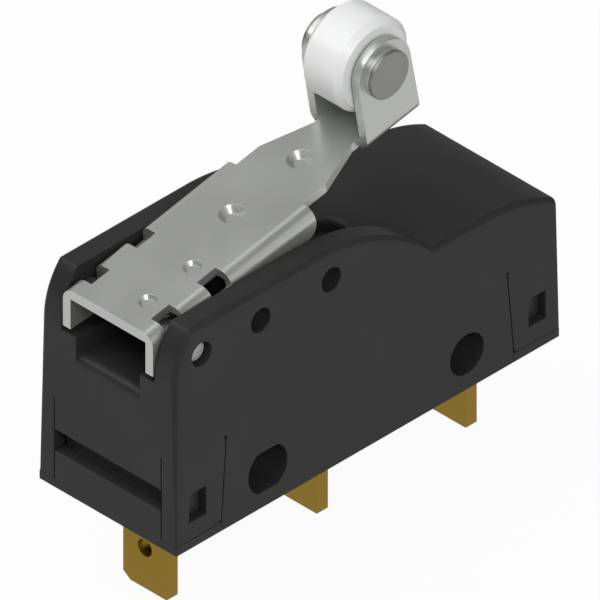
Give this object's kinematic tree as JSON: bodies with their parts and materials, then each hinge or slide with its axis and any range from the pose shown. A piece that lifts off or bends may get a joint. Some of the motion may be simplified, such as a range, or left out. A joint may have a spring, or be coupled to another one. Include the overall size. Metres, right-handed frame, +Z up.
{
  "type": "micro switch",
  "caption": "Snap-action micro switch with a hinged roller lever over a plunger, a sprung change-over contact in a closed case, and tab terminals below.",
  "frame": {"origin": "centre of the round mounting hole, on the case's mid-plane", "axes": "+X along the case towards the end away from the lever's hinge, +Y along the mounting holes, +Z up towards the lever"},
  "size_m": [0.0488, 0.0174, 0.0502],
  "materials": {
    "case_plastic": "fine matt moulded thermoset",
    "base_plastic": "fine matt moulded thermoset",
    "terminal_brass": "pressed brass with faint tool marks",
    "contact_silver": "satin silver alloy",
    "spring_bronze": "satin spring bronze",
    "clamp_steel": "plated steel",
    "plunger_plastic": "smooth moulded plastic",
    "lever_steel": "plated pressed steel, smooth",
    "pin_steel": "turned steel",
    "washer_steel": "bright plated steel",
    "roller_plastic": "smooth white plastic",
    "wire_steel": "drawn spring wire"
  },
  "bodies": {
    "case": {"housing": "case_plastic", "base": "base_plastic", "common_terminal": "terminal_brass", "open_terminal": "terminal_brass", "closed_terminal": "terminal_brass", "open_contact": "contact_silver", "closed_contact": "contact_silver", "fulcrum_bracket": "clamp_steel", "clamp_plate": "clamp_steel", "clamp_rivet": "clamp_steel", "hinge_pin": "pin_steel", "lift_spring": "wire_steel"},
    "lever": {"lever": "lever_steel", "roller_pin": "pin_steel", "pin_washers": "washer_steel"},
    "roller": {"roller": "roller_plastic"},
    "plunger": {"plunger": "plunger_plastic"},
    "contact_arm": {"snap_spring": "spring_bronze", "moving_contact": "contact_silver"}
  },
  "joints": [
    {"name": "lever_hinge", "type": "hinge", "parent": "case", "child": "lever", "pos_m": [-0.03361, 0, 0.01667], "axis": [0, 1, 0], "range_deg": [0, 10.7], "stiffness_Nm_per_rad": 0.2, "springref_deg": -8.59, "deforming": ["lift_spring"]},
    {"name": "roller_spin", "type": "hinge", "parent": "lever", "child": "roller", "pos_m": [-0.00557, 0, 0.03143], "axis": [0, 1, 0], "continuous": true},
    {"name": "plunger_slide", "type": "slide", "parent": "case", "child": "plunger", "axis": [0, 0, -1], "range_m": [0, 0.00033]},
    {"name": "contact_swing", "type": "hinge", "parent": "case", "child": "contact_arm", "pos_m": [-0.02862, 0, 0.0073], "axis": [0, 1, 0], "range_deg": [0, 1.48]}
  ],
  "couplings": [
    {"joint": "plunger_slide", "follows": "lever_hinge", "m_per_rad": 0.001767},
    {"joint": "contact_swing", "follows": "lever_hinge", "ratio": 0.1381}
  ]
}
